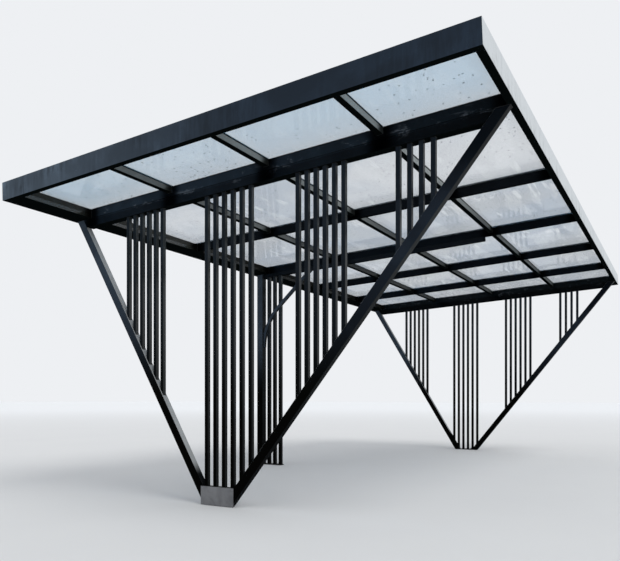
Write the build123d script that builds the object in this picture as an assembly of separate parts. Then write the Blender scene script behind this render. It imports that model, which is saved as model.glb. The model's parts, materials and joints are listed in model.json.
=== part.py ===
from build123d import *
from itertools import accumulate
from math import hypot
import os

# Carport with a glazed roof that rises to the right, on two V-shaped frames and a support at the low side.
# Millimetres. X runs along the width from the low left edge, Y from the front edge to the rear,
# Z up from the ground.
# The finished pieces are moved so that the origin lies under the middle of the front foot.

# Roof outline and slopes: bays between the rafters' middle lines from left to right,
# and between the beams' front faces
BAY_WIDTHS = (1466, 1217, 1187, 1140)
FRONT_OVERHANG = 924
BAY_LENGTHS = (1844, 1769, 1695, 1584, 1315)
REAR_OVERHANG = 463
EAVES_HEIGHT = 3136
RISE_ACROSS = 0.0461
FALL_BACK = 0.0095

# Roof edge
FASCIA_HEIGHT = 190
FASCIA_THICKNESS = 65
EAVES_BEAM_INNER_FACE = 273
EAVES_BEAM_WIDTH = 60
GUTTER_THICKNESS = 40

# Members under the glass, whose tops all lie at one level above the fascia's underside
DECK_LEVEL = 100
HEAD_BEAM_WIDTH = 100
HEAD_BEAM_DROP = 91
PURLIN_WIDTH = 50
RAFTER_WIDTH = 60
RAFTER_DEPTH = 60
MIDDLE_BEAM_DROP = 58
MIDDLE_BEAM_SHORTFALL = 84

# Outer corner radii of the box sections
LARGE_SECTION_RADIUS = 3
MEDIUM_SECTION_RADIUS = 2
SLAT_RADIUS = 1.5

# Glass, the ledges under its outer edges and the caps over its joints
GLASS_THICKNESS = 10
PANE_GAP = 12
GLASS_OVER_GUTTER = 30
LEDGE_WIDTH = 30
LEDGE_THICKNESS = 6
CAP_WIDTH = 50
CAP_THICKNESS = 6

# V-frames, their feet and their upright slats; pairs give the front and the rear frame
LEG_SIZE = 90
LEG_DEPTH = 70
LEFT_HEAD_INSETS = (38, 58)
RIGHT_HEAD_INSETS = (44, 32)
FOOT_OFFSETS = (14.5, 79.5)
FOOT_SPREADS = (336, 460)
FOOT_HEIGHT = 190
BASE_THICKNESS = 12
ANCHOR_TONGUE_WIDTH = 240
ANCHOR_TONGUE_LENGTH = 80
ANCHOR_SPACING = 150
ANCHOR_RADIUS = 9
COVER_WIDTH = 412
COVER_THICKNESS = 3
COVER_LIFT = 2
SLAT_SIZE = 41
# One group of slats under each bay of the width, set off the bay's middle
SLAT_COUNTS = (6, 6, 6, 4)
SLAT_OFFSETS = ((216.5, 137.5, -14, -227.5), (184.5, 64, -63, -234.5))
SLAT_PITCHES = ((100, 109, 96, 104), (97, 98, 96, 103))

# Support at the low side, in line with the second purlin
POST_CENTRE = 113
POST_SIZE = 106
MIDDLE_SLAT_FIRST = 101
MIDDLE_SLAT_PITCH = 109
MIDDLE_SLAT_COUNT = 3
MIDDLE_SLAT_SIZE = 50
MIDDLE_BASE_THICKNESS = 10
MIDDLE_BASE_MARGIN = 6
MIDDLE_ANCHOR_RADIUS = 7
BRACE_WIDTH = 45
BRACE_FOOT_DROP = 1190
BRACE_BEND_RADIUS = 880
BRACE_SLOPE = 42
BRACE_RUN = 1200

# Values that follow from the ones above
ROOF_WIDTH = sum(BAY_WIDTHS)
RAFTER_CENTRES = list(accumulate(BAY_WIDTHS[:-1]))
ROOF_DEPTH = FRONT_OVERHANG + sum(BAY_LENGTHS) + REAR_OVERHANG
BEAM_FRONTS = list(accumulate(BAY_LENGTHS, initial=FRONT_OVERHANG))
BEAM_WIDTHS = [HEAD_BEAM_WIDTH] + [PURLIN_WIDTH] * (len(BEAM_FRONTS) - 2) + [HEAD_BEAM_WIDTH]
BEAM_SPANS = [(front, front + width) for front, width in zip(BEAM_FRONTS, BEAM_WIDTHS)]
INNER_RIGHT = ROOF_WIDTH - FASCIA_THICKNESS
INNER_REAR = ROOF_DEPTH - FASCIA_THICKNESS
EAVES_BEAM_OUTER_FACE = EAVES_BEAM_INNER_FACE - EAVES_BEAM_WIDTH
MIDDLE_PURLIN = len(BAY_LENGTHS) // 2
BAY_EDGES = [EAVES_BEAM_INNER_FACE, *RAFTER_CENTRES, INNER_RIGHT]
BAY_MIDDLES = [(left + right) / 2 for left, right in zip(BAY_EDGES, BAY_EDGES[1:])]
FRAME_FRONTS = (BEAM_FRONTS[0], BEAM_FRONTS[-1])
FOOT_CENTRES = [BAY_MIDDLES[1] + offset for offset in FOOT_OFFSETS]
FOOT_EDGES = [(middle - spread / 2, middle + spread / 2) for middle, spread in zip(FOOT_CENTRES, FOOT_SPREADS)]
POST_FACE = POST_CENTRE + POST_SIZE / 2
GLASS_TOP = DECK_LEVEL + GLASS_THICKNESS
GLASS_LEFT = EAVES_BEAM_OUTER_FACE - GLASS_OVER_GUTTER
REACH = 400

ROOF = Plane(origin=(0, 0, EAVES_HEIGHT), x_dir=(1, 0, RISE_ACROSS), z_dir=(-RISE_ACROSS, FALL_BACK, 1))
TO_ORIGIN = Pos(-FOOT_CENTRES[0], -(FRAME_FRONTS[0] + LEG_DEPTH / 2), 0)


def box(x_range, y_range, z_range):
    """A box between the given limits."""
    corner = Pos(x_range[0], y_range[0], z_range[0])
    sizes = [high - low for low, high in (x_range, y_range, z_range)]
    return corner * Box(*sizes, align=(Align.MIN, Align.MIN, Align.MIN))


def roof_box(across, along, up):
    """A box in the sloping roof's own directions, up counted from the fascia's underside."""
    return ROOF.location * box(across, along, up)


def roof_height(x, y):
    """Height above the ground of the plane through the fascia's underside."""
    return EAVES_HEIGHT + RISE_ACROSS * x - FALL_BACK * y


def below_roof(level):
    """All the room under the roof, up to a level counted from the fascia's underside."""
    return roof_box((-REACH, ROOF_WIDTH + REACH), (-REACH, ROOF_DEPTH + REACH), (-2 * EAVES_HEIGHT, level))


def elevation_prism(outline, front, depth):
    """A closed outline seen from the front, in X and Z, made solid from its front face to the rear."""
    plane = Plane(origin=(0, front, 0), x_dir=(1, 0, 0), z_dir=(0, -1, 0))
    return extrude(plane * make_face(outline), amount=-depth)


def rounded(solid, radius):
    """A box section with the corners along its length rounded."""
    longest = max(edge.length for edge in solid.edges())
    return solid.fillet(radius, [edge for edge in solid.edges() if edge.length > longest / 2])


def largest(shape):
    """The largest solid of a cut shape."""
    return max(shape.solids(), key=lambda solid: solid.volume)


def highest(shape):
    """The solid of a cut shape that lies highest."""
    return max(shape.solids(), key=lambda solid: solid.center().Z)


# Roof edge

def fascia_front():
    whole = roof_box((0, ROOF_WIDTH), (0, FASCIA_THICKNESS), (0, FASCIA_HEIGHT))
    return [rounded(whole, MEDIUM_SECTION_RADIUS)]


def fascia_rear():
    whole = roof_box((0, ROOF_WIDTH), (INNER_REAR, ROOF_DEPTH), (0, FASCIA_HEIGHT))
    return [rounded(whole, MEDIUM_SECTION_RADIUS)]


def side_fascia(across):
    """A fascia along one side, between the front and rear ones."""
    whole = roof_box(across, (FASCIA_THICKNESS, INNER_REAR), (0, FASCIA_HEIGHT))
    return [rounded(whole, MEDIUM_SECTION_RADIUS)]


def fascia_left():
    return side_fascia((0, FASCIA_THICKNESS))


def fascia_right():
    return side_fascia((INNER_RIGHT, ROOF_WIDTH))


def eaves_beam():
    """Beam along the low side that carries the purlins' ends and the low edge of the glass."""
    across = (EAVES_BEAM_OUTER_FACE, EAVES_BEAM_INNER_FACE)
    up = (GUTTER_THICKNESS, DECK_LEVEL)
    return [rounded(roof_box(across, (FASCIA_THICKNESS, INNER_REAR), up), MEDIUM_SECTION_RADIUS)]


def gutter_floor():
    """Flat member that closes the gutter below and carries the eaves beam."""
    across = (FASCIA_THICKNESS, EAVES_BEAM_INNER_FACE)
    return [roof_box(across, (FASCIA_THICKNESS, INNER_REAR), (0, GUTTER_THICKNESS))]


# Members under the glass

def head_beam(place):
    """Deep beam of a V-frame, its lower part fitted between the heads of the two legs."""
    along = (FRAME_FRONTS[place], FRAME_FRONTS[place] + HEAD_BEAM_WIDTH)
    upper = roof_box((EAVES_BEAM_INNER_FACE, INNER_RIGHT), along, (0, DECK_LEVEL))
    lower = roof_box((0, ROOF_WIDTH), along, (-HEAD_BEAM_DROP, 0))
    for strip in leg_strips(place, HEAD_BEAM_WIDTH):
        lower -= strip
    return [rounded(largest(upper + largest(lower)), LARGE_SECTION_RADIUS)]


def purlin(index):
    whole = roof_box((EAVES_BEAM_INNER_FACE, INNER_RIGHT), BEAM_SPANS[index], (0, DECK_LEVEL))
    return [rounded(whole, MEDIUM_SECTION_RADIUS)]


def middle_beam():
    """Beam under the left part of the middle purlin, from the post to a square end."""
    across = (POST_FACE, RAFTER_CENTRES[-1] - MIDDLE_BEAM_SHORTFALL)
    whole = roof_box(across, BEAM_SPANS[MIDDLE_PURLIN], (-MIDDLE_BEAM_DROP, 0))
    return [rounded(whole, MEDIUM_SECTION_RADIUS)]


def lengthwise_gaps():
    """The clear stretches between the front fascia, the cross beams and the rear fascia."""
    starts = [FASCIA_THICKNESS] + [rear for front, rear in BEAM_SPANS]
    ends = [front for front, rear in BEAM_SPANS] + [INNER_REAR]
    return list(zip(starts, ends))


def rafter(centre):
    """One line of rafter pieces, cut between the cross beams."""
    across = (centre - RAFTER_WIDTH / 2, centre + RAFTER_WIDTH / 2)
    up = (DECK_LEVEL - RAFTER_DEPTH, DECK_LEVEL)
    return [rounded(roof_box(across, gap, up), MEDIUM_SECTION_RADIUS) for gap in lengthwise_gaps()]


def crosswise_gaps():
    """The clear stretches between the eaves beam, the rafters and the right fascia."""
    starts = [EAVES_BEAM_INNER_FACE] + [centre + RAFTER_WIDTH / 2 for centre in RAFTER_CENTRES]
    ends = [centre - RAFTER_WIDTH / 2 for centre in RAFTER_CENTRES] + [INNER_RIGHT]
    return list(zip(starts, ends))


def glazing_ledges():
    """Flat bars on the fascias that carry the outer edges of the glass."""
    up = (DECK_LEVEL - LEDGE_THICKNESS, DECK_LEVEL)
    ledges = []
    for across in crosswise_gaps():
        side = (across[0], min(across[1], INNER_RIGHT - LEDGE_WIDTH - PANE_GAP))
        ledges.append(roof_box(side, (FASCIA_THICKNESS, FASCIA_THICKNESS + LEDGE_WIDTH), up))
        ledges.append(roof_box(side, (INNER_REAR - LEDGE_WIDTH, INNER_REAR), up))
    for gap in lengthwise_gaps():
        ledges.append(roof_box((INNER_RIGHT - LEDGE_WIDTH, INNER_RIGHT), gap, up))
    return ledges


# Glass

def beam_centres():
    return [(front + rear) / 2 for front, rear in BEAM_SPANS]


def pane_ranges(edges):
    """Pane limits between successive joint lines, with half a gap left at each line."""
    return [(low + PANE_GAP / 2, high - PANE_GAP / 2) for low, high in zip(edges, edges[1:])]


def glass_rows():
    """Rows of four panes from front to rear."""
    across = pane_ranges([GLASS_LEFT, *RAFTER_CENTRES, INNER_RIGHT])
    along = pane_ranges([FASCIA_THICKNESS, *beam_centres(), INNER_REAR])
    return [[roof_box(pane, row, (DECK_LEVEL, GLASS_TOP)) for pane in across] for row in along]


def glazing_caps():
    """Flat bars over the joints of the glass."""
    up = (GLASS_TOP, GLASS_TOP + CAP_THICKNESS)
    half = CAP_WIDTH / 2
    lines = beam_centres()
    across = (GLASS_LEFT + PANE_GAP, INNER_RIGHT)
    caps = [roof_box(across, (line - half, line + half), up) for line in lines]
    starts = [FASCIA_THICKNESS] + [line + half + 1 for line in lines]
    ends = [line - half - 1 for line in lines] + [INNER_REAR]
    for centre in RAFTER_CENTRES:
        for gap in zip(starts, ends):
            caps.append(roof_box((centre - half, centre + half), gap, up))
    return caps


# V-frames

def leg_strip(place, head, foot, inner_side, margin):
    """A sloping strip whose outer edge runs from the roof's underside to the ground, and on past both."""
    top = roof_height(head, FRAME_FRONTS[place] + LEG_DEPTH / 2)
    length = hypot(foot - head, top)
    run = ((foot - head) / length, -top / length)
    inward = (-run[1] * inner_side, run[0] * inner_side)
    start = (head - run[0] * REACH, top - run[1] * REACH)
    end = (foot + run[0] * REACH, run[1] * REACH)
    inner_start = (start[0] + inward[0] * LEG_SIZE, start[1] + inward[1] * LEG_SIZE)
    inner_end = (end[0] + inward[0] * LEG_SIZE, end[1] + inward[1] * LEG_SIZE)
    outline = Polyline(start, end, inner_end, inner_start, close=True)
    return elevation_prism(outline, FRAME_FRONTS[place] - margin, LEG_DEPTH + 2 * margin)


def leg_strips(place, margin=0):
    """The left and right strips of a frame, thicker than its legs by a margin on both faces."""
    left_foot, right_foot = FOOT_EDGES[place]
    left = leg_strip(place, LEFT_HEAD_INSETS[place], left_foot, 1, margin)
    right = leg_strip(place, ROOF_WIDTH - RIGHT_HEAD_INSETS[place], right_foot, -1, margin)
    return left, right


def frame_legs(place):
    """The two box legs of a frame, cut at the roof's underside and on the base plate."""
    room = box((-REACH, ROOF_WIDTH + REACH), (0, ROOF_DEPTH), (BASE_THICKNESS, 2 * EAVES_HEIGHT))
    cut = [largest(strip & below_roof(0) & room) for strip in leg_strips(place)]
    return [rounded(leg, LARGE_SECTION_RADIUS) for leg in cut]


def foot_plate(place):
    """Base plate under both legs, with a tongue for two anchors behind."""
    centre = FOOT_CENTRES[place]
    front = FRAME_FRONTS[place]
    rear = front + LEG_DEPTH
    low = (0, BASE_THICKNESS)
    plate = box(FOOT_EDGES[place], (front, rear), low)
    half_tongue = ANCHOR_TONGUE_WIDTH / 2
    plate += box((centre - half_tongue, centre + half_tongue), (rear, rear + ANCHOR_TONGUE_LENGTH), low)
    for side in (-1, 1):
        hole = Pos(centre + side * ANCHOR_SPACING / 2, rear + ANCHOR_TONGUE_LENGTH / 2, BASE_THICKNESS / 2)
        plate -= hole * Cylinder(ANCHOR_RADIUS, 2 * BASE_THICKNESS)
    return plate


def foot_front():
    """Base plate with the block that ties the front legs together."""
    centre = FOOT_CENTRES[0]
    along = (FRAME_FRONTS[0], FRAME_FRONTS[0] + LEG_DEPTH)
    block = box((centre - REACH, centre + REACH), along, (BASE_THICKNESS, FOOT_HEIGHT))
    for strip in leg_strips(0, LEG_DEPTH):
        block -= strip
    between = min(block.solids(), key=lambda solid: abs(solid.center().X - centre))
    return [largest(foot_plate(0) + between)]


def foot_rear():
    """Base plate alone: the rear legs and slats stand on it."""
    return [largest(foot_plate(1))]


def foot_cover_front():
    """Bare metal plate over the front of the front foot."""
    front = FRAME_FRONTS[0]
    across = (FOOT_CENTRES[0] - COVER_WIDTH / 2, FOOT_CENTRES[0] + COVER_WIDTH / 2)
    return [box(across, (front - COVER_THICKNESS, front), (COVER_LIFT, FOOT_HEIGHT))]


def slat_group(place, legs, centre, count, pitch):
    """Upright slats from the head beam down to the leg or foot that they meet."""
    front = FRAME_FRONTS[place] + (LEG_DEPTH - SLAT_SIZE) / 2
    foot_level = (FOOT_HEIGHT, BASE_THICKNESS)[place]
    slats = []
    for number in range(count):
        left = centre + (number - (count - 1) / 2) * pitch - SLAT_SIZE / 2
        slat = box((left, left + SLAT_SIZE), (front, front + SLAT_SIZE), (foot_level, 2 * EAVES_HEIGHT))
        slat &= below_roof(-HEAD_BEAM_DROP)
        for one in legs:
            slat = highest(slat - one)
        slats.append(rounded(slat, SLAT_RADIUS))
    return slats


# Support at the low side

MIDDLE_AXIS = sum(BEAM_SPANS[MIDDLE_PURLIN]) / 2
FIRST_SLAT = POST_FACE + MIDDLE_SLAT_FIRST
MIDDLE_SLAT_CENTRES = [FIRST_SLAT + number * MIDDLE_SLAT_PITCH for number in range(MIDDLE_SLAT_COUNT)]


def middle_post():
    half = POST_SIZE / 2
    post = box((POST_CENTRE - half, POST_CENTRE + half), (MIDDLE_AXIS - half, MIDDLE_AXIS + half),
               (MIDDLE_BASE_THICKNESS, 2 * EAVES_HEIGHT))
    return [rounded(largest(post & below_roof(0)), LARGE_SECTION_RADIUS)]


def middle_brace():
    """Knee brace that leaves the post's inner face in a bend and runs on straight to the middle beam."""
    foot_level = roof_height(POST_FACE, MIDDLE_AXIS) - BRACE_FOOT_DROP
    centre = (POST_FACE + BRACE_BEND_RADIUS, foot_level)
    bend = 90 - BRACE_SLOPE
    upper = CenterArc(centre, BRACE_BEND_RADIUS + BRACE_WIDTH / 2, 180 - bend, bend)
    lower = CenterArc(centre, BRACE_BEND_RADIUS - BRACE_WIDTH / 2, 180 - bend, bend)
    onward = Vector(BRACE_RUN, 0).rotate(Axis.Z, BRACE_SLOPE)
    straight = Polyline(upper @ 0, upper @ 0 + onward, lower @ 0 + onward, lower @ 0)
    foot = Line(upper @ 1, lower @ 1)
    whole = elevation_prism([upper, straight, lower, foot], MIDDLE_AXIS - PURLIN_WIDTH / 2, PURLIN_WIDTH)
    right_of_post = box((POST_FACE, ROOF_WIDTH), (0, ROOF_DEPTH), (0, 2 * EAVES_HEIGHT))
    return [largest(whole & right_of_post & below_roof(-MIDDLE_BEAM_DROP))]


def middle_slats():
    """Three upright slats beside the post, cut where the brace passes through them."""
    brace = middle_brace()[0]
    half = MIDDLE_SLAT_SIZE / 2
    pieces = []
    for centre in MIDDLE_SLAT_CENTRES:
        slat = box((centre - half, centre + half), (MIDDLE_AXIS - half, MIDDLE_AXIS + half),
                   (MIDDLE_BASE_THICKNESS, 2 * EAVES_HEIGHT))
        slat = (slat & below_roof(-MIDDLE_BEAM_DROP)) - brace
        pieces.extend(rounded(piece, SLAT_RADIUS) for piece in slat.solids())
    return pieces


def middle_base():
    """Plate under the post and slats, with an anchor hole in each gap between the slats."""
    left = POST_CENTRE - POST_SIZE / 2
    right = MIDDLE_SLAT_CENTRES[-1] + MIDDLE_SLAT_SIZE / 2 + MIDDLE_BASE_MARGIN
    half = POST_SIZE / 2
    plate = box((left, right), (MIDDLE_AXIS - half, MIDDLE_AXIS + half), (0, MIDDLE_BASE_THICKNESS))
    for low, high in zip(MIDDLE_SLAT_CENTRES, MIDDLE_SLAT_CENTRES[1:]):
        place = Pos((low + high) / 2, MIDDLE_AXIS, MIDDLE_BASE_THICKNESS / 2)
        plate -= place * Cylinder(MIDDLE_ANCHOR_RADIUS, 2 * MIDDLE_BASE_THICKNESS)
    return [largest(plate)]


def build():
    """Every node's solids by its name."""
    nodes = {
        "fascia_front": fascia_front(),
        "fascia_rear": fascia_rear(),
        "fascia_left": fascia_left(),
        "fascia_right": fascia_right(),
        "eaves_beam": eaves_beam(),
        "gutter_floor": gutter_floor(),
        "middle_beam": middle_beam(),
        "glazing_ledges": glazing_ledges(),
        "glazing_caps": glazing_caps(),
        "foot_front": foot_front(),
        "foot_rear": foot_rear(),
        "foot_cover_front": foot_cover_front(),
        "middle_post": middle_post(),
        "middle_slats": middle_slats(),
        "middle_brace": middle_brace(),
        "middle_base": middle_base(),
    }
    for index in range(1, len(BEAM_FRONTS) - 1):
        nodes[f"purlin_{index}"] = purlin(index)
    for side, centre in zip(("left", "middle", "right"), RAFTER_CENTRES):
        nodes[f"rafter_{side}"] = rafter(centre)
    for number, row in enumerate(glass_rows(), start=1):
        nodes[f"glass_row_{number}"] = row
    for place, name in enumerate(("front", "rear")):
        legs = frame_legs(place)
        nodes[f"leg_{name}_left"] = [legs[0]]
        nodes[f"leg_{name}_right"] = [legs[1]]
        nodes[f"head_beam_{name}"] = head_beam(place)
        groups = zip("abcd", BAY_MIDDLES, SLAT_OFFSETS[place], SLAT_COUNTS, SLAT_PITCHES[place])
        for letter, middle, offset, count, pitch in groups:
            nodes[f"slats_{name}_{letter}"] = slat_group(place, legs, middle + offset, count, pitch)
    return nodes


os.makedirs("parts", exist_ok=True)
for name, solids in build().items():
    export_step(Compound(children=[TO_ORIGIN * solid for solid in solids]), f"parts/{name}.step")
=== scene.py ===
import bmesh
import bpy
import json
import math
from mathutils import Matrix, Vector


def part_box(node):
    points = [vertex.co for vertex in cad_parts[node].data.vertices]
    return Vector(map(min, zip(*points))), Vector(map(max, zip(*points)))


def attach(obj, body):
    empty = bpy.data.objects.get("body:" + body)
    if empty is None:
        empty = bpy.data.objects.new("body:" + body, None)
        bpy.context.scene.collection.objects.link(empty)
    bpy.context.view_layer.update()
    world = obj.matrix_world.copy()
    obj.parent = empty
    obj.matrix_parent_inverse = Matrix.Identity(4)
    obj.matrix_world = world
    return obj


# Carport with a glazed roof. Metres: X across the width, Y from front to rear, Z up.

# Camera, from the photograph's straight lines: its turn in degrees and its lens in millimetres
CAMERA_PLACE = (4.045, -5.094, 1.082)
CAMERA_TURN = 30.38
CAMERA_LENS = 37.2
CAMERA_SHIFT = 0.1895

# The roof's low front corner and slopes, and its members' limits measured from there
ROOF_CORNER = (-2.089, -0.959, 3.136)
RISE_ACROSS = 0.0461
FALL_BACK = 0.0095
GLASS_UNDERSIDE = 0.100
GLASS_TOP = 0.110
CAP_TOP = 0.116
INNER_FRONT = 0.065
INNER_REAR = 9.529
INNER_LEFT = 0.273
INNER_RIGHT = 4.945
CAP_HALF_WIDTH = 0.025
RAFTER_HALF_WIDTH = 0.030
RAFTER_UNDERSIDE = 0.040
HEAD_BEAM_HALF_WIDTH = 0.050
PURLIN_HALF_WIDTH = 0.025
CAP_STRIPS_START = 0.200
STRIP_REACH = 0.005
SCREW_PITCH = 0.42

# The open end of the beam at the side support, left of the right rafter and under the roof's edge
BEAM_END_SHORTFALL = 0.084
BEAM_END_LEVEL = -0.029
BEAM_END_HALF_WIDTH = 0.0245
BEAM_END_HALF_HEIGHT = 0.0285
BEAM_END_RADIUS = 0.006

# Anchors: places on the base plates, the plates' thicknesses and the sizes of the nuts
ANCHOR_HALF_SPACING = 0.075
ANCHOR_FROM_REAR = 0.040
FOOT_PLATE_TOP = 0.012
FOOT_NUT_SIZE = 0.0165
LAST_SLAT_FROM_END = 0.031
SLAT_SPACING = 0.109
SIDE_PLATE_TOP = 0.010
SIDE_NUT_SIZE = 0.0125
COVER_SCREW_INSET = 0.016

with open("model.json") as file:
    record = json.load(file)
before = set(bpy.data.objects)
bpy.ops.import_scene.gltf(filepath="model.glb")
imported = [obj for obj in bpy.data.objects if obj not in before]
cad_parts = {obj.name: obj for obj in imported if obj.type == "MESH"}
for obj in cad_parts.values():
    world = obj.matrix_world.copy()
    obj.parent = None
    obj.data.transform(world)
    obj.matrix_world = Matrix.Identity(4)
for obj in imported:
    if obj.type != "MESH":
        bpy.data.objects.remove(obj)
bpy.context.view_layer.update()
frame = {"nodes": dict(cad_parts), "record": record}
nodes = frame["nodes"]


def linear(red, green, blue):
    """A colour given in screen values from 0 to 255, in the linear scale that the shaders use."""
    def one(value):
        value /= 255
        return value / 12.92 if value <= 0.04045 else ((value + 0.055) / 1.055) ** 2.4
    return (one(red), one(green), one(blue), 1.0)


# Node graphs

class Graph:
    """A material with one Principled shader and short calls that add nodes to it."""

    def __init__(self, name):
        self.material = bpy.data.materials.new(name)
        self.material.use_nodes = True
        self.tree = self.material.node_tree
        self.tree.nodes.clear()
        self.shader = self.tree.nodes.new("ShaderNodeBsdfPrincipled")
        output = self.tree.nodes.new("ShaderNodeOutputMaterial")
        self.tree.links.new(self.shader.outputs[0], output.inputs["Surface"])
        coordinates = self.tree.nodes.new("ShaderNodeTexCoord")
        self.point = coordinates.outputs["Object"]
        self.place = self.axes(self.point)
        self.facing = self.axes(coordinates.outputs["Normal"])

    def axes(self, vector):
        node = self.tree.nodes.new("ShaderNodeSeparateXYZ")
        self.tree.links.new(vector, node.inputs[0])
        return node.outputs

    def put(self, socket, value):
        if isinstance(value, bpy.types.NodeSocket):
            self.tree.links.new(value, socket)
        else:
            socket.default_value = value

    def shade(self, **values):
        """Sets the shader's own inputs."""
        for name, value in values.items():
            self.put(self.shader.inputs[name.replace("_", " ")], value)

    def maths(self, operation, first, second=0.0, clamp=False):
        node = self.tree.nodes.new("ShaderNodeMath")
        node.operation = operation
        node.use_clamp = clamp
        self.put(node.inputs[0], first)
        self.put(node.inputs[1], second)
        return node.outputs[0]

    def times(self, first, second):
        return self.maths("MULTIPLY", first, second)

    def plus(self, first, second):
        return self.maths("ADD", first, second)

    def spread(self, value, low, high, start=0.0, end=1.0):
        """Takes a value smoothly from the range low to high over to the range start to end."""
        node = self.tree.nodes.new("ShaderNodeMapRange")
        node.interpolation_type = "SMOOTHSTEP"
        parts = {"Value": value, "From Min": low, "From Max": high, "To Min": start, "To Max": end}
        for name, part in parts.items():
            self.put(node.inputs[name], part)
        return node.outputs[0]

    def without(self, value, share):
        """Takes a value down to nothing as a share grows to one."""
        return self.times(value, self.spread(share, 0.0, 1.0, 1.0, 0.0))

    def blend(self, share, first, second):
        """Mixes two colours."""
        node = self.tree.nodes.new("ShaderNodeMix")
        node.data_type = "RGBA"
        self.put(node.inputs["Factor"], share)
        self.put(node.inputs[6], first)
        self.put(node.inputs[7], second)
        return node.outputs[2]

    def scaled(self, colour, amount):
        """Makes a colour lighter or darker by a factor."""
        node = self.tree.nodes.new("ShaderNodeVectorMath")
        node.operation = "SCALE"
        self.put(node.inputs[0], colour)
        self.put(node.inputs["Scale"], amount)
        return node.outputs[0]

    def stretched(self, stretch):
        node = self.tree.nodes.new("ShaderNodeMapping")
        node.inputs["Scale"].default_value = stretch
        self.tree.links.new(self.point, node.inputs["Vector"])
        return node.outputs[0]

    def noise(self, scale, detail=4.0, stretch=(1, 1, 1), distortion=0.0, roughness=0.5):
        node = self.tree.nodes.new("ShaderNodeTexNoise")
        node.inputs["Scale"].default_value = scale
        node.inputs["Detail"].default_value = detail
        node.inputs["Roughness"].default_value = roughness
        node.inputs["Distortion"].default_value = distortion
        self.tree.links.new(self.stretched(stretch), node.inputs["Vector"])
        return node.outputs["Fac"]

    def cells(self, scale):
        """Distance to the nearest of many scattered points."""
        node = self.tree.nodes.new("ShaderNodeTexVoronoi")
        node.inputs["Scale"].default_value = scale
        self.tree.links.new(self.point, node.inputs["Vector"])
        return node.outputs["Distance"]

    def bump(self, height, strength, distance=0.001):
        node = self.tree.nodes.new("ShaderNodeBump")
        node.inputs["Strength"].default_value = strength
        node.inputs["Distance"].default_value = distance
        self.put(node.inputs["Height"], height)
        self.put(self.shader.inputs["Normal"], node.outputs[0])

    def from_nearest(self, value, lines):
        """Distance of a value from the nearest of some lines."""
        nearest = None
        for line in lines:
            distance = self.maths("ABSOLUTE", self.maths("SUBTRACT", value, line))
            nearest = distance if nearest is None else self.maths("MINIMUM", nearest, distance)
        return nearest

    def roof_level(self):
        """Height above the underside of the roof's edge."""
        rise = self.times(self.maths("SUBTRACT", self.place["X"], ROOF_CORNER[0]), -RISE_ACROSS)
        fall = self.times(self.maths("SUBTRACT", self.place["Y"], ROOF_CORNER[1]), FALL_BACK)
        height = self.maths("SUBTRACT", self.place["Z"], ROOF_CORNER[2])
        return self.plus(height, self.plus(rise, fall))


# Near-black tone for faces that look down: painted shade.
PAINTED_UNDERSIDE_SHADE = linear(8, 12, 12)


def painted(name, left, right, low, side_left, side_right, top, front_gloss, side_gloss, heights=(0.3, 3.0),
            turning=(-2.2, 2.6), stained=False, seam=False, joints=False, shaded_heads=False, reflection_tone=None,
            slope_light=None):
    """Satin paint on steel, with blotches, scratches, specks and grain, and its own tone for each way a face
    looks:
    lighter or darker side faces and near-black undersides, which are painted light and shade.

    All upright faces change from left to right and darken towards the ground. Stained faces have drip marks.
    A seam is the joint line of two stacked tubes. Faces with joints are dirty and dull near them, and darker
    there partly as painted shade. Upper ends towards the right can be darkened as painted shade under the
    roof. A tone can be given for a pale painted sky reflection on the outer face at the roof's high side, and
    one for painted light on a leaning face that looks up."""
    graph = Graph(name)
    rightwards = graph.spread(graph.place["X"], *turning)
    upwards = graph.spread(graph.place["Z"], 0.5, 2.6, 0.25, 1.0)
    sideways = graph.spread(graph.maths("ABSOLUTE", graph.facing["X"]), 0.35, 0.75)
    down = graph.spread(graph.facing["Z"], -0.7, -0.9)
    up = graph.spread(graph.facing["Z"], 0.55, 0.9)
    colour = graph.blend(rightwards, left, right)
    colour = graph.blend(graph.spread(graph.place["Z"], *heights), low, colour)
    if stained:
        colour = drip_marks(graph, colour, rightwards)
    # Side faces take their own tone, lighter or darker than the fronts: painted light and shade.
    side = graph.scaled(graph.blend(rightwards, side_left, side_right), upwards)
    colour = graph.blend(sideways, colour, side)
    gloss = graph.plus(graph.times(sideways, side_gloss - front_gloss), front_gloss)
    gloss = graph.times(gloss, upwards)
    scratches = graph.spread(graph.noise(30.0, 4.0, stretch=(1.0, 1.0, 6.0), distortion=0.9), 0.63, 0.72)
    colour = worn(graph, colour, scratches)
    if seam:
        colour = stacked_tubes(graph, colour)
    if joints:
        colour, gloss = dirty_and_shaded_joints(graph, colour, gloss, sideways)
    if shaded_heads:
        # Upper ends towards the right darken just under the roof: painted shade.
        near_roof = graph.times(graph.spread(graph.roof_level(), -0.9, -0.1), rightwards)
        colour = graph.scaled(colour, graph.spread(near_roof, 0.0, 1.0, 1.0, 0.35))
    # Faces that look down turn near black: painted shade.
    colour = graph.blend(down, colour, PAINTED_UNDERSIDE_SHADE)
    gloss = graph.without(gloss, down)
    # The outer face at the high side gets a pale painted sky reflection.
    if reflection_tone:
        colour, gloss = painted_reflection_on_outer_face(graph, colour, gloss, reflection_tone)
    # Leaning faces that look up turn pale: painted light.
    if slope_light:
        colour = painted_light_on_slope(graph, colour, slope_light)
    dust = graph.spread(graph.noise(5.0, 6.0), 0.3, 0.75, 0.3, 0.9)
    colour = graph.blend(graph.times(dust, up), colour, top)
    gloss = graph.times(gloss, graph.spread(up, 0.0, 1.0, 1.0, 0.35))
    finish = graph.spread(graph.noise(7.0, 5.0), 0.3, 0.7, 0.4, 0.58)
    graph.shade(Base_Color=colour, Roughness=finish, Specular_IOR_Level=0.0, Coat_Weight=gloss,
                Coat_Roughness=0.14, Coat_IOR=1.8)
    graph.bump(graph.plus(graph.noise(420.0, 2.0), graph.times(scratches, -0.4)), 0.12, 0.0006)
    return graph.material


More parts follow.
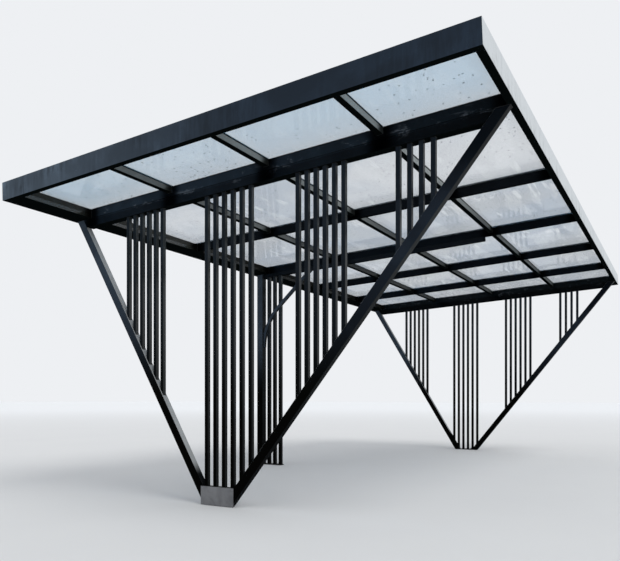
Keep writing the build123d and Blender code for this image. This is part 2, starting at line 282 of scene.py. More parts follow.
def worn(graph, colour, scratches):
    """Soft blotches, and pale scratches and specks that gather in the lighter of them."""
    blotches = graph.spread(graph.noise(2.3, 5.0, distortion=0.6), 0.35, 0.7)
    specks = graph.spread(graph.noise(120.0, 3.0), 0.66, 0.76)
    marks = graph.plus(graph.times(scratches, 0.7), graph.times(specks, 1.2))
    tone = graph.spread(blotches, 0.0, 1.0, 0.84, 1.16)
    return graph.scaled(colour, graph.plus(tone, graph.times(marks, blotches)))


def drip_marks(graph, colour, rightwards):
    """Lighter and darker runs down the front edge, strongest towards the left and in patches."""
    wide = graph.noise(10.0, 5.0, stretch=(1.0, 1.0, 0.08), roughness=0.7)
    fine = graph.noise(38.0, 3.0, stretch=(1.0, 1.0, 0.15))
    runs = graph.plus(graph.spread(wide, 0.3, 0.7, -0.6, 0.6), graph.spread(fine, 0.35, 0.65, -0.3, 0.35))
    patches = graph.spread(graph.noise(1.6, 4.0), 0.4, 0.62)
    amount = graph.times(patches, graph.spread(rightwards, 0.0, 1.0, 1.0, 0.3))
    return graph.scaled(colour, graph.plus(graph.times(runs, amount), 1.0))


def stacked_tubes(graph, colour):
    """Darker lower tube, pale smudges near the joint and the thin dark line of the joint itself."""
    level = graph.roof_level()
    lower = graph.spread(level, 0.02, -0.03)
    colour = graph.scaled(colour, graph.spread(lower, 0.0, 1.0, 1.0, 0.4))
    smudges = graph.noise(6.5, 7.0, stretch=(0.6, 1.0, 1.6), distortion=0.5, roughness=0.75)
    near_joint = graph.spread(graph.maths("ABSOLUTE", graph.plus(level, -0.02)), 0.09, 0.0)
    smudges = graph.times(graph.spread(smudges, 0.55, 0.7), near_joint)
    colour = graph.blend(graph.times(smudges, 0.28), colour, linear(150, 158, 168))
    line = graph.spread(graph.maths("ABSOLUTE", level), 0.0035, 0.0015)
    return graph.blend(line, colour, linear(2, 3, 4))


def dirty_and_shaded_joints(graph, colour, gloss, sideways):
    """Dirt and painted shade that darken and dull all faces near the joints, and painted shade that darkens
    side faces more and more towards the rear, where the gloss of all faces fades too.
    """
    # Side faces darken towards the rear: painted shade.
    painted_light_towards_front = graph.spread(graph.place["Y"], 1.0, 3.6, 1.0, 0.3)
    colour = graph.scaled(colour, graph.plus(graph.times(graph.plus(painted_light_towards_front, -1.0), sideways), 1.0))
    clear = clear_of_joints(graph, sideways)
    # Near the joints every face darkens: dirt and painted shade.
    colour = graph.scaled(colour, graph.spread(clear, 0.0, 1.0, 0.1, 1.0))
    return colour, graph.times(graph.times(gloss, painted_light_towards_front), clear)


def clear_of_joints(graph, sideways):
    """How far a place lies from the joints: side faces from the cross beams, the others from the rafters."""
    along = graph.maths("SUBTRACT", graph.place["Y"], ROOF_CORNER[1])
    across = graph.maths("SUBTRACT", graph.place["X"], ROOF_CORNER[0])
    by_beams = graph.spread(graph.from_nearest(along, CROSS_LINES), 0.06, 0.24)
    lines_across = [INNER_LEFT, *RAFTER_LINES, INNER_RIGHT]
    by_rafters = graph.spread(graph.from_nearest(across, lines_across), 0.02, 0.2)
    difference = graph.maths("SUBTRACT", by_beams, by_rafters)
    return graph.plus(by_rafters, graph.times(difference, sideways))


def painted_reflection_on_outer_face(graph, colour, gloss, tone):
    """A painted sky reflection: pale matt tone on the outer face at the roof's high side, with grime towards
    its lower edge.
    """
    looks_right = graph.spread(graph.facing["X"], 0.5, 0.8)
    outer = graph.times(looks_right, graph.spread(graph.place["X"], 2.7, 2.8))
    grime = graph.noise(9.0, 6.0, stretch=(1.0, 1.0, 0.4), roughness=0.75)
    low_edge = graph.spread(graph.roof_level(), 0.15, 0.0, 0.15, 0.6)
    grime = graph.times(graph.spread(grime, 0.46, 0.7), low_edge)
    # The outer face takes the pale tone: a painted sky reflection.
    colour = graph.blend(outer, colour, graph.blend(grime, tone, linear(150, 154, 156)))
    return colour, graph.without(gloss, outer)


def painted_light_on_slope(graph, colour, tone):
    """Painted light: a pale, patchy tone on a leaning face that looks up, down to just above the foot."""
    tilt = graph.facing["Z"]
    leaning = graph.times(graph.spread(tilt, 0.3, 0.45), graph.spread(tilt, 0.75, 0.65))
    patchy_light = graph.spread(graph.noise(3.0, 5.0, stretch=(1.0, 1.0, 0.5)), 0.3, 0.6, 0.8, 1.0)
    patchy_light = graph.times(patchy_light, graph.spread(graph.place["Z"], 0.3, 0.45))
    return graph.blend(graph.times(leaning, patchy_light), colour, tone)


def brushed_steel():
    """Bare steel plate with fine horizontal brushing and faint smears."""
    graph = Graph("brushed_steel")
    lines = graph.noise(30.0, 6.0, stretch=(0.5, 0.5, 30.0), roughness=0.7)
    smears = graph.spread(graph.noise(6.0, 4.0, distortion=0.7), 0.35, 0.7)
    colour = graph.blend(lines, linear(106, 107, 109), linear(150, 151, 154))
    colour = graph.blend(graph.times(smears, 0.5), colour, linear(84, 85, 89))
    rough = graph.spread(lines, 0.3, 0.7, 0.3, 0.48)
    graph.shade(Base_Color=colour, Metallic=1.0, Roughness=rough)
    graph.bump(lines, 0.25, 0.0004)
    return graph.material


def zinc_steel():
    """Plated fastener steel, dull grey with small blotches."""
    graph = Graph("zinc_steel")
    blotches = graph.noise(160.0, 4.0)
    colour = graph.blend(blotches, linear(112, 114, 116), linear(168, 170, 172))
    graph.shade(Base_Color=colour, Metallic=1.0, Roughness=graph.spread(blotches, 0.3, 0.7, 0.3, 0.5))
    graph.bump(graph.noise(500.0, 3.0), 0.15, 0.0003)
    return graph.material


def weld_metal():
    """Painted weld bead, slightly rougher than the sections."""
    graph = Graph("weld_metal")
    blotches = graph.noise(120.0, 4.0)
    colour = graph.blend(blotches, linear(5, 7, 8), linear(18, 21, 24))
    rough = graph.spread(blotches, 0.3, 0.7, 0.4, 0.65)
    graph.shade(Base_Color=colour, Roughness=rough, Specular_IOR_Level=0.2)
    graph.bump(graph.noise(300.0, 4.0), 0.4, 0.0006)
    return graph.material


def rubber():
    """Black sealing strip with a fine grain and dusty patches."""
    graph = Graph("rubber")
    dusty = graph.spread(graph.noise(22.0, 5.0), 0.4, 0.75)
    colour = graph.blend(dusty, linear(12, 13, 14), linear(40, 41, 42))
    rough = graph.spread(dusty, 0.0, 1.0, 0.6, 0.85)
    graph.shade(Base_Color=colour, Roughness=rough, Specular_IOR_Level=0.2)
    graph.bump(graph.noise(350.0, 3.0), 0.2, 0.0004)
    return graph.material


def dried_marks(graph):
    """Washed runs from front to rear and patches of fine spatter, faint in the front row and on top."""
    bands = graph.spread(graph.noise(5.0, 1.0, stretch=(1.0, 0.16, 1.0)), 0.53, 0.56)
    band_zone = graph.spread(graph.noise(0.9, 2.0), 0.42, 0.5)
    lines = graph.spread(graph.noise(17.0, 2.0, stretch=(1.0, 0.09, 1.0)), 0.57, 0.62)
    line_zone = graph.spread(graph.noise(1.6, 2.0), 0.53, 0.6)
    runs = graph.plus(graph.times(graph.times(bands, band_zone), 0.35), graph.times(lines, line_zone))
    runs = graph.maths("MINIMUM", runs, 1.0)
    spatter_zone = graph.spread(graph.noise(0.8, 2.0, stretch=(1.0, 1.3, 1.0)), 0.58, 0.64)
    spatter = graph.times(graph.spread(graph.noise(24.0, 2.0), 0.54, 0.62), spatter_zone)
    below = graph.spread(graph.facing["Z"], 0.5, -0.5, 0.3, 1.0)
    marks = graph.times(graph.plus(graph.times(runs, 0.7), graph.times(spatter, 0.6)), below)
    return graph.times(marks, graph.spread(graph.place["Y"], 0.2, 1.4, 0.2, 1.0))


def dark_specks(graph):
    """Scattered dark specks, in patches."""
    speck_zone = graph.spread(graph.noise(1.1, 2.0, distortion=0.4), 0.42, 0.54)
    return graph.times(graph.spread(graph.cells(13.0), 0.135, 0.085), speck_zone)


def glass():
    """Pale blue toughened glass under a cloudy dust film. Its tint, bluer in front and greyer towards the
    rear and from above, is a painted reflection of the sky and the ground.
    """
    graph = Graph("glass")
    clouds = graph.spread(graph.noise(0.55, 4.0, distortion=0.5), 0.42, 0.62)
    # Bluer in front, greyer towards the rear and from above: a painted reflection of the sky and the ground.
    above = graph.spread(graph.facing["Z"], 0.0, 0.5)
    behind = graph.maths("MAXIMUM", graph.spread(graph.place["Y"], -0.6, 0.9), above)
    far = graph.spread(graph.place["Y"], 1.2, 2.2)
    clean_tint_and_reflection = graph.blend(behind, linear(118, 190, 228), linear(108, 154, 188))
    # The dusty tone also carries the painted reflection, greyer towards the rear.
    dusty = graph.blend(behind, linear(150, 202, 230), linear(224, 230, 236))
    dusty = graph.blend(far, dusty, linear(146, 166, 180))
    pale_side = graph.times(graph.spread(graph.place["X"], 0.8, 2.2), graph.maths("SUBTRACT", behind, far))
    share = graph.maths("ADD", clouds, graph.times(pale_side, 2.0), clamp=True)
    marks = dried_marks(graph)
    specks = dark_specks(graph)
    colour = graph.blend(share, clean_tint_and_reflection, dusty)
    colour = graph.blend(graph.maths("MINIMUM", marks, 0.9), colour, linear(236, 242, 246))
    colour = graph.blend(specks, colour, linear(50, 58, 66))
    front_left = graph.times(graph.spread(graph.place["X"], -0.2, -1.5), graph.spread(behind, 0.5, 0.0))
    film = graph.plus(graph.spread(front_left, 0.0, 1.0, 0.33, 0.42), graph.times(far, 0.04))
    cover = graph.plus(graph.times(specks, 0.5), graph.times(marks, -0.12))
    cover = graph.maths("ADD", cover, film, clamp=True)
    rough = graph.spread(clouds, 0.0, 1.0, 0.06, 0.16)
    graph.shade(Base_Color=colour, Alpha=cover, Roughness=rough, IOR=1.5)
    return graph.material


# Stage

BACKDROP = linear(238, 240, 243)
SOFT_LIGHT = linear(238, 243, 250)
SOFT_LIGHT_STRENGTH = 0.66
LAMP_COLOUR = (1.0, 0.985, 0.96)
LAMP_STRENGTH = 1.45
LAMP_SPREAD = 35
LAMP_DIRECTION = (-0.75, 0.25, -1.0)
FLOOR_COLOURS = linear(229, 229, 228), linear(225, 225, 225)
FAR_FLOOR_COLOUR = linear(246, 247, 248)
FLOOR_REACH = 150.0
FLOOR_LEVEL = -0.001
FARTHEST_VIEW = 500.0


def make_floor():
    """Plain pale floor, far larger than the object, that grows a little paler with distance."""
    mesh = bpy.data.meshes.new("floor")
    corners = [(-1, -1), (1, -1), (1, 1), (-1, 1)]
    points = [(x * FLOOR_REACH, y * FLOOR_REACH, FLOOR_LEVEL) for x, y in corners]
    mesh.from_pydata(points, [], [(0, 1, 2, 3)])
    floor = bpy.data.objects.new("floor", mesh)
    bpy.context.scene.collection.objects.link(floor)
    graph = Graph("floor")
    colour = graph.blend(graph.noise(0.8, 4.0), *FLOOR_COLOURS)
    squares = [graph.maths("POWER", graph.place[axis], 2.0) for axis in "XY"]
    distance = graph.maths("SQRT", graph.plus(*squares))
    colour = graph.blend(graph.spread(distance, 10.0, 60.0), colour, FAR_FLOOR_COLOUR)
    graph.shade(Base_Color=colour, Roughness=0.9, Specular_IOR_Level=0.1)
    mesh.materials.append(graph.material)


def make_world():
    """Soft even light, with the pale backdrop for whatever sees it directly, mirrored or through glass."""
    world = bpy.data.worlds.new("studio")
    bpy.context.scene.world = world
    world.use_nodes = True
    tree = world.node_tree
    tree.nodes.clear()
    path = tree.nodes.new("ShaderNodeLightPath")
    seen = tree.nodes.new("ShaderNodeMath")
    seen.operation = "MAXIMUM"
    either = tree.nodes.new("ShaderNodeMath")
    either.operation = "MAXIMUM"
    tree.links.new(path.outputs["Is Camera Ray"], either.inputs[0])
    tree.links.new(path.outputs["Is Glossy Ray"], either.inputs[1])
    tree.links.new(either.outputs[0], seen.inputs[0])
    tree.links.new(path.outputs["Is Transmission Ray"], seen.inputs[1])
    light = tree.nodes.new("ShaderNodeBackground")
    light.inputs["Color"].default_value = SOFT_LIGHT
    light.inputs["Strength"].default_value = SOFT_LIGHT_STRENGTH
    backdrop = tree.nodes.new("ShaderNodeBackground")
    backdrop.inputs["Color"].default_value = BACKDROP
    mix = tree.nodes.new("ShaderNodeMixShader")
    output = tree.nodes.new("ShaderNodeOutputWorld")
    tree.links.new(seen.outputs[0], mix.inputs[0])
    tree.links.new(light.outputs[0], mix.inputs[1])
    tree.links.new(backdrop.outputs[0], mix.inputs[2])
    tree.links.new(mix.outputs[0], output.inputs["Surface"])


def make_lamp():
    """One broad soft lamp from high on the right."""
    lamp = bpy.data.lights.new("soft_lamp", "SUN")
    lamp.energy = LAMP_STRENGTH
    lamp.angle = math.radians(LAMP_SPREAD)
    lamp.color = LAMP_COLOUR
    holder = bpy.data.objects.new("soft_lamp", lamp)
    holder.rotation_euler = Vector(LAMP_DIRECTION).to_track_quat("-Z", "Y").to_euler()
    bpy.context.scene.collection.objects.link(holder)


def make_camera():
    """The photograph's viewpoint."""
    camera = bpy.data.cameras.new("camera")
    camera.sensor_width = 36.0
    camera.lens = CAMERA_LENS
    camera.shift_y = CAMERA_SHIFT
    camera.clip_end = FARTHEST_VIEW
    holder = bpy.data.objects.new("camera", camera)
    holder.location = CAMERA_PLACE
    holder.rotation_euler = (math.radians(90), 0, math.radians(CAMERA_TURN))
    bpy.context.scene.collection.objects.link(holder)
    bpy.context.scene.camera = holder


# Shapes that the fine pieces are made of

CREASE_ANGLE = 40
BEAD_STEP = 0.006
BEAD_SIDES = 6
STRIP_STEPS = 3


def add_piece(name, shape, material):
    """Makes a piece of a shape, on the part's one body."""
    mesh = bpy.data.meshes.new(name)
    bmesh.ops.recalc_face_normals(shape, faces=shape.faces)
    shape.to_mesh(mesh)
    shape.free()
    for face in mesh.polygons:
        face.use_smooth = True
    mesh.materials.append(material)
    piece = bpy.data.objects.new(name, mesh)
    bpy.context.scene.collection.objects.link(piece)
    mesh.set_sharp_from_angle(angle=math.radians(CREASE_ANGLE))
    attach(piece, "root")


def joined_rings(shape, rings):
    """Closes the sides and both ends of a body given as rings of points."""
    rings = [[shape.verts.new(point) for point in ring] for ring in rings]
    for low, high in zip(rings, rings[1:]):
        for number in range(len(low)):
            following = (number + 1) % len(low)
            shape.faces.new((low[number], low[following], high[following], high[number]))
    shape.faces.new(list(reversed(rings[0])))
    shape.faces.new(rings[-1])


def turned(shape, profile, place, axis=(0, 0, 1), sides=16, turn=0.0):
    """A turned body: rings of the profile's radius and height, round an axis through a place."""
    turning = Vector((0, 0, 1)).rotation_difference(Vector(axis))
    matrix = Matrix.Translation(place) @ turning.to_matrix().to_4x4()
    rings = []
    for radius, height in profile:
        angles = [turn + 2 * math.pi * number / sides for number in range(sides)]
        rings.append([matrix @ Vector((radius * math.cos(a), radius * math.sin(a), height)) for a in angles])
    joined_rings(shape, rings)


def bead(shape, start, end, radius=0.003):
    """A weld bead along a corner, in small ripples."""
    start, end = Vector(start), Vector(end)
    along = end - start
    count = max(2, round(along.length / BEAD_STEP))
    across = along.orthogonal().normalized()
    other = along.cross(across).normalized()
    rings = []
    for number in range(count + 1):
        size = radius * (1.0 if number % 2 else 0.78)
        centre = start + along * (number / count)
        angles = [2 * math.pi * side / BEAD_SIDES for side in range(BEAD_SIDES)]
        rings.append([centre + (across * math.cos(a) + other * math.sin(a)) * size for a in angles])
    joined_rings(shape, rings)


def quarter_strip(shape, start, end, out, up):
    """A strip of quarter-round section along a corner, with the given reach outwards and upwards."""
    rings = []
    for place in (start, end):
        ring = [place]
        for number in range(STRIP_STEPS + 1):
            angle = math.pi / 2 * number / STRIP_STEPS
            ring.append(place + out * math.cos(angle) + up * math.sin(angle))
        rings.append(ring)
    joined_rings(shape, rings)


# Places on the roof

def roof_axes():
    """Directions across the roof towards its high side, along it towards the rear, and square to it."""
    across = Vector((1, 0, RISE_ACROSS)).normalized()
    up = Vector((-RISE_ACROSS, FALL_BACK, 1)).normalized()
    return across, up.cross(across), up


ACROSS, ALONG, UP = roof_axes()


def on_roof(across, along, up):
    """The point at the given distances from the roof's low front corner."""
    return Vector(ROOF_CORNER) + ACROSS * across + ALONG * along + UP * up


def middle_on_roof(node, direction):
    """How far a node's middle lies from the roof's low front corner in a direction."""
    low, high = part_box(node)
    return ((low + high) / 2 - Vector(ROOF_CORNER)).dot(direction)


PURLINS = [f"purlin_{number}" for number in range(1, 5)]
CROSS_LINES = [middle_on_roof(node, ALONG) for node in ("head_beam_front", *PURLINS, "head_beam_rear")]
CROSS_HALF_WIDTHS = [HEAD_BEAM_HALF_WIDTH, *[PURLIN_HALF_WIDTH] * len(PURLINS), HEAD_BEAM_HALF_WIDTH]
CROSS_BEAMS = list(zip(CROSS_LINES, CROSS_HALF_WIDTHS))
RAFTER_LINES = [middle_on_roof(f"rafter_{side}", ACROSS) for side in ("left", "middle", "right")]
SLAT_GROUPS = [f"slats_{place}_{letter}" for place in ("front", "rear") for letter in "abcd"]


def clear_lengths():
    """Clear stretches along the roof between its front edge, the cross beams and its rear edge."""
    starts = [INNER_FRONT] + [line + half for line, half in CROSS_BEAMS]
    ends = [line - half for line, half in CROSS_BEAMS] + [INNER_REAR]
    return list(zip(starts, ends))


def clear_widths():
    """Clear stretches across the roof between the eaves beam, the rafters and the high edge."""
    starts = [INNER_LEFT] + [line + RAFTER_HALF_WIDTH for line in RAFTER_LINES]
    ends = [line - RAFTER_HALF_WIDTH for line in RAFTER_LINES] + [INNER_RIGHT]
    return list(zip(starts, ends))


def cap_lengths():
    """Stretches of the caps that run from front to rear, between the caps that run across."""
    starts = [INNER_FRONT] + [line + CAP_HALF_WIDTH for line in CROSS_LINES]
    ends = [line - CAP_HALF_WIDTH for line in CROSS_LINES] + [INNER_REAR]
    return list(zip(starts, ends))


# Fine pieces

CORNER_REACH = 0.003
HEAD_MARGIN = 0.002
WIDEST_BAR = 0.052
SLAT_BEAD = 0.0026
FRAME_BEAD = 0.004
BEAM_WELD_START = 0.002
WELD_TOP = GLASS_UNDERSIDE - 0.004


def corner_points(points, top):
    """The four corner points of one end of an upright or leaning bar, from its own points."""
    low_x, high_x = min(p.x for p in points), max(p.x for p in points)
    low_y, high_y = min(p.y for p in points), max(p.y for p in points)
    corners = []
    for x, y in ((low_x, low_y), (high_x, low_y), (high_x, high_y), (low_x, high_y)):
        near = [p for p in points if abs(p.x - x) < CORNER_REACH and abs(p.y - y) < CORNER_REACH]
        level = max(p.z for p in near) if top else min(p.z for p in near)
        corners.append(Vector((x, y, level)))
    return corners


def bars_of(node):
    """The points of each upright bar of a node, told apart by the gaps between them across the width."""
    points = sorted((vertex.co.copy() for vertex in nodes[node].data.vertices), key=lambda p: p.x)
    bars = [[points[0]]]
    for point in points[1:]:
        if point.x - bars[-1][-1].x > WIDEST_BAR:
            bars.append([])
        bars[-1].append(point)
    return bars


def slat_welds(material):
    """Beads round both ends of every upright slat."""
    shape = bmesh.new()
    for node in (*SLAT_GROUPS, "middle_slats"):
        for points in bars_of(node):
            for top in (True, False):
                corners = corner_points(points, top)
                for start, end in zip(corners, corners[1:] + corners[:1]):
                    bead(shape, start, end, SLAT_BEAD)
    add_piece("slat_welds", shape, material)


def rafter_welds(material):
    """Beads on both sides and under the end of every rafter piece, and beside the ends of the cross beams."""
    shape = bmesh.new()
    for line in RAFTER_LINES:
        sides = (line - RAFTER_HALF_WIDTH, line + RAFTER_HALF_WIDTH)
        for stretch in clear_lengths():
            for along in stretch:
                low = [on_roof(across, along, RAFTER_UNDERSIDE) for across in sides]
                high = [on_roof(across, along, WELD_TOP) for across in sides]
                bead(shape, low[0], low[1])
                bead(shape, low[0], high[0])
                bead(shape, low[1], high[1])
    for line, half in CROSS_BEAMS:
        for across in (INNER_LEFT, INNER_RIGHT):
            for along in (line - half, line + half):
                bead(shape, on_roof(across, along, BEAM_WELD_START), on_roof(across, along, WELD_TOP))
    add_piece("roof_welds", shape, material)


def roof_underside(x, y):
    """The point of the roof's underside above a place on the ground."""
    rise = RISE_ACROSS * (x - ROOF_CORNER[0]) - FALL_BACK * (y - ROOF_CORNER[1])
    return Vector((x, y, ROOF_CORNER[2] + rise))


def head_corners(leg, side):
    """Corner points of a leg's head under the roof, from the inner front one round the outer side."""
    points = [vertex.co for vertex in nodes[leg].data.vertices]
    head = [p for p in points if p.z > roof_underside(p.x, p.y).z - HEAD_MARGIN]
    low_x, high_x = min(p.x for p in head), max(p.x for p in head)
    low_y, high_y = min(p.y for p in head), max(p.y for p in head)
    outer = low_x if side == "left" else high_x
    inner = high_x if side == "left" else low_x
    corners = [(inner, low_y), (outer, low_y), (outer, high_y), (inner, high_y)]
    return [roof_underside(x, y) for x, y in corners]


def frame_welds(material):
    """Beads round the heads of the legs and both ends of the post."""
    shape = bmesh.new()
    for place in ("front", "rear"):
        for side in ("left", "right"):
            corners = head_corners(f"leg_{place}_{side}", side)
            for start, end in zip(corners, corners[1:]):
                bead(shape, start, end, FRAME_BEAD)
    post = [vertex.co for vertex in nodes["middle_post"].data.vertices]
    for top in (True, False):
        corners = corner_points(post, top)
        for start, end in zip(corners, corners[1:] + corners[:1]):
            bead(shape, start, end, FRAME_BEAD)
    add_piece("frame_welds", shape, material)


def seals(material):
    """Sealing strips beside the caps on the glass, and between the glass and the members under it."""
    shape = bmesh.new()
    over, under = UP * STRIP_REACH, UP * -STRIP_REACH
    for side in (-1, 1):
        rearwards, rightwards = ALONG * (STRIP_REACH * side), ACROSS * (STRIP_REACH * side)
        for line, half in CROSS_BEAMS:
            along = line + side * CAP_HALF_WIDTH
            ends = [on_roof(across, along, GLASS_TOP) for across in (CAP_STRIPS_START, INNER_RIGHT)]
            quarter_strip(shape, *ends, rearwards, over)
            along = line + side * half
            for stretch in clear_widths():
                ends = [on_roof(across, along, GLASS_UNDERSIDE) for across in stretch]
                quarter_strip(shape, *ends, rearwards, under)
        for line in RAFTER_LINES:
            across = line + side * CAP_HALF_WIDTH
            for stretch in cap_lengths():
                ends = [on_roof(across, along, GLASS_TOP) for along in stretch]
                quarter_strip(shape, *ends, rightwards, over)
            across = line + side * RAFTER_HALF_WIDTH
            for stretch in clear_lengths():
                ends = [on_roof(across, along, GLASS_UNDERSIDE) for along in stretch]
                quarter_strip(shape, *ends, rightwards, under)
    add_piece("sealing_strips", shape, material)


def cap_screw(shape, place):
    """Washer and hexagon head of a screw through a glazing cap."""
    washer = [(0.0085, 0.0), (0.0085, 0.0012), (0.0070, 0.0020), (0.0040, 0.0020)]
    turned(shape, washer, place, UP, sides=14)
    head = [(0.0052, 0.0016), (0.0056, 0.0024), (0.0056, 0.0052), (0.0050, 0.0060), (0.0030, 0.0060)]
    turned(shape, head, place, UP, sides=6)


def evenly(start, end, pitch):
    """Places along a stretch, half a pitch or so from its ends."""
    count = max(1, round((end - start) / pitch))
    return [start + (end - start) * (number + 0.5) / count for number in range(count)]


def cap_screws(material):
    """Screws along the middle of every cap over the joints of the glass."""
    shape = bmesh.new()
    for line in CROSS_LINES:
        for start, end in clear_widths():
            for across in evenly(start, end, SCREW_PITCH):
                cap_screw(shape, on_roof(across, line, CAP_TOP))
    for line in RAFTER_LINES:
        for start, end in cap_lengths():
            for along in evenly(start, end, SCREW_PITCH):
                cap_screw(shape, on_roof(line, along, CAP_TOP))
    add_piece("cap_screws", shape, material)


def beam_end_cap(material):
    """Pressed cap with rounded corners over the open end of the beam at the side support."""
    shape = bmesh.new()
    across = middle_on_roof("rafter_right", ACROSS) - BEAM_END_SHORTFALL
    along = middle_on_roof("middle_beam", ALONG)
    rings = []
    for out, inset in ((0.0, 0.0), (0.0022, 0.0), (0.0030, 0.0008), (0.0030, 0.0100), (0.0022, 0.0110)):
        reach = 1 - inset / BEAM_END_HALF_WIDTH
        ring = []
        for corner in range(4):
            wide = (BEAM_END_HALF_WIDTH - BEAM_END_RADIUS) * (1 if corner in (0, 3) else -1)
            high = (BEAM_END_HALF_HEIGHT - BEAM_END_RADIUS) * (1 if corner in (0, 1) else -1)
            for step in range(4):
                angle = math.radians(90 * corner + 30 * step)
                aside = (wide + BEAM_END_RADIUS * math.cos(angle)) * reach
                above = (high + BEAM_END_RADIUS * math.sin(angle)) * reach
                ring.append(on_roof(across + out, along + aside, BEAM_END_LEVEL + above))
        rings.append(ring)
    joined_rings(shape, rings)
    add_piece("beam_end_cap", shape, material)


def cover_screws(material):
    """Small domed screw heads near the corners of the plate on the foot."""
    shape = bmesh.new()
    profile = [(0.0055, 0.0), (0.0055, 0.0006), (0.0048, 0.0018), (0.0032, 0.0025), (0.0021, 0.0027),
               (0.0019, 0.0025), (0.0018, 0.0012)]
    low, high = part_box("foot_cover_front")
    for x in (low.x + COVER_SCREW_INSET, high.x - COVER_SCREW_INSET):
        for z in (low.z + COVER_SCREW_INSET, high.z - COVER_SCREW_INSET):
            turned(shape, profile, (x, low.y, z), axis=(0, -1, 0), sides=18)
    add_piece("cover_screws", shape, material)


def anchor_nut(shape, place, size):
    """Washer, hexagon nut and threaded stud end, standing on a base plate."""
    thin = size * 0.16
    washer = [(size * 1.05, 0.0), (size * 1.05, size * 0.1), (size, thin), (size * 0.5, thin)]
    turned(shape, washer, place, sides=24)
    on_washer = (place[0], place[1], place[2] + thin)
    nut = [(size * 0.78, 0.0), (size * 0.86, size * 0.08), (size * 0.86, size * 0.6),
           (size * 0.78, size * 0.68), (size * 0.45, size * 0.68)]
    turned(shape, nut, on_washer, sides=6, turn=0.3)
    stud = [(size * (0.42 if number % 2 else 0.47), size * (0.1 + 0.13 * number)) for number in range(9)]
    stud.append((size * 0.36, stud[-1][1] + size * 0.05))
    turned(shape, stud, on_washer, sides=16)


def anchors(material):
    """Nuts on the two anchors behind each foot and the two between the slats of the side support."""
    shape = bmesh.new()
    for node in ("foot_front", "foot_rear"):
        low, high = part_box(node)
        middle = (low.x + high.x) / 2
        for x in (middle - ANCHOR_HALF_SPACING, middle + ANCHOR_HALF_SPACING):
            anchor_nut(shape, (x, high.y - ANCHOR_FROM_REAR, FOOT_PLATE_TOP), FOOT_NUT_SIZE)
    low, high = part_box("middle_base")
    last_slat = high.x - LAST_SLAT_FROM_END
    for x in (last_slat - SLAT_SPACING / 2, last_slat - SLAT_SPACING * 1.5):
        anchor_nut(shape, (x, (low.y + high.y) / 2, SIDE_PLATE_TOP), SIDE_NUT_SIZE)
    add_piece("anchor_nuts", shape, material)


# Paints of the sections

DUST = linear(86, 87, 86)
FASCIA = dict(left=linear(74, 86, 98), right=linear(30, 42, 55), low=linear(40, 50, 60),
              side_left=linear(34, 42, 50), side_right=linear(34, 42, 50), top=DUST,
              front_gloss=0.12, side_gloss=0.5, turning=(-2.2, 1.5), stained=True)


def fascia_paint():
    """Deep edge sections: slate, darker towards the right, with a pale painted sky reflection on the outer
    face at the high side.
    """
    return painted("fascia_paint", reflection_tone=linear(214, 218, 220), **FASCIA)


def fascia_left_paint():
    """The edge section at the low side, in the same paint without the pale painted reflection."""
    return painted("fascia_left_paint", **FASCIA)


def beam_paint():
    """Purlins and rafters: near black from the front, with painted light making the side faces paler towards
    the right.
    """
    dark = linear(14, 20, 26)
    # The pale side tone towards the right is painted light.
    return painted("beam_paint", left=dark, right=linear(12, 17, 22), low=dark, side_left=linear(40, 42, 38),
                   side_right=linear(132, 140, 138), top=DUST, front_gloss=0.04, side_gloss=0.9, joints=True)


def eaves_beam_paint():
    """Near-black inner beam along the low side."""
    dark = linear(14, 20, 26)
    side = linear(40, 41, 38)
    return painted("eaves_beam_paint", left=dark, right=dark, low=dark, side_left=side, side_right=side,
                   top=DUST, front_gloss=0.04, side_gloss=0.25, joints=True)


def middle_beam_paint():
    """Dark lower tube over the side support."""
    dark = linear(20, 25, 30)
    side = linear(40, 44, 46)
    return painted("middle_beam_paint", left=dark, right=linear(17, 22, 27), low=dark, side_left=side,
                   side_right=side, top=DUST, front_gloss=0.04, side_gloss=0.5)


def head_beam_paint():
    """Front head beam of two stacked tubes: slate, near black towards the right."""
    slate = linear(36, 46, 56)
    side = linear(52, 58, 60)
    return painted("head_beam_paint", left=slate, right=linear(10, 17, 22), low=slate, side_left=side,
                   side_right=side, top=DUST, front_gloss=0.04, side_gloss=0.5, turning=(0.0, 2.9), seam=True,
                   joints=True)


def rear_head_beam_paint():
    """Near-black rear head beam of two stacked tubes."""
    dark = linear(14, 20, 24)
    side = linear(52, 58, 60)
    return painted("rear_head_beam_paint", left=dark, right=linear(10, 16, 19), low=dark, side_left=side,
                   side_right=side, top=DUST, front_gloss=0.04, side_gloss=0.5, seam=True)


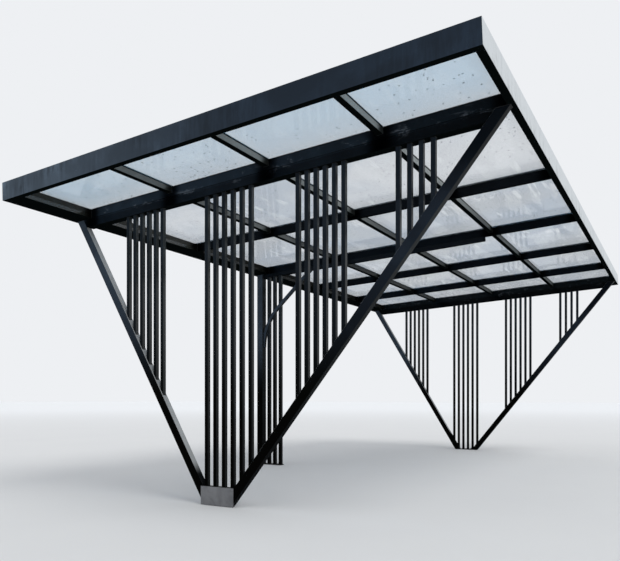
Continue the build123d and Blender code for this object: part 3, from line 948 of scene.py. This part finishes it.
def leg_paint():
    """Legs, feet and post: slate above, near black towards the ground, with painted light on the slopes
    that look up and painted shade on the upper ends towards the right, under the roof.
    """
    return painted("leg_paint", left=linear(58, 68, 79), right=linear(34, 41, 50), low=linear(7, 7, 6),
                   side_left=linear(34, 38, 40), side_right=linear(35, 39, 41), top=DUST, front_gloss=0.02,
                   side_gloss=0.16, heights=(1.1, 2.4), turning=(-1.5, 0.5), shaded_heads=True,
                   slope_light=linear(172, 174, 174))


def slat_paint():
    """Upright slats: dark slate above and near black towards the ground."""
    return painted("slat_paint", left=linear(36, 42, 47), right=linear(32, 38, 45), low=linear(7, 7, 6),
                   side_left=linear(46, 50, 50), side_right=linear(44, 49, 52), top=DUST, front_gloss=0.02,
                   side_gloss=0.4, heights=(0.8, 2.9))


def cap_paint():
    """Dusty dark caps over the joints of the glass."""
    dark = linear(34, 40, 46)
    side = linear(44, 48, 52)
    return painted("cap_paint", left=dark, right=dark, low=dark, side_left=side, side_right=side,
                   top=linear(96, 98, 98), front_gloss=0.2, side_gloss=0.4)


# Assembly

def dress_nodes(beams):
    """Gives every solid its material: a single solid's own one, or else the one of its slot."""
    by_node = {
        "fascia_left": fascia_left_paint(),
        "eaves_beam": eaves_beam_paint(),
        "head_beam_front": head_beam_paint(),
        "head_beam_rear": rear_head_beam_paint(),
        "middle_beam": middle_beam_paint(),
    }
    by_slot = {
        "fascia_steel": fascia_paint(),
        "beam_steel": beams,
        "cap_metal": cap_paint(),
        "frame_steel": leg_paint(),
        "slat_steel": slat_paint(),
        "cover_plate": brushed_steel(),
        "glass": glass(),
    }
    for part in frame["record"]["subparts"]:
        node = nodes[part["node"]]
        node.data.materials.clear()
        node.data.materials.append(by_node.get(part["node"], by_slot[part["material_slot"]]))


bpy.context.scene.view_settings.view_transform = "Standard"
make_camera()
make_world()
make_lamp()
make_floor()
beams = beam_paint()
dress_nodes(beams)
steel = zinc_steel()
weld = weld_metal()
slat_welds(weld)
rafter_welds(weld)
frame_welds(weld)
seals(rubber())
cap_screws(steel)
beam_end_cap(beams)
cover_screws(steel)
anchors(steel)
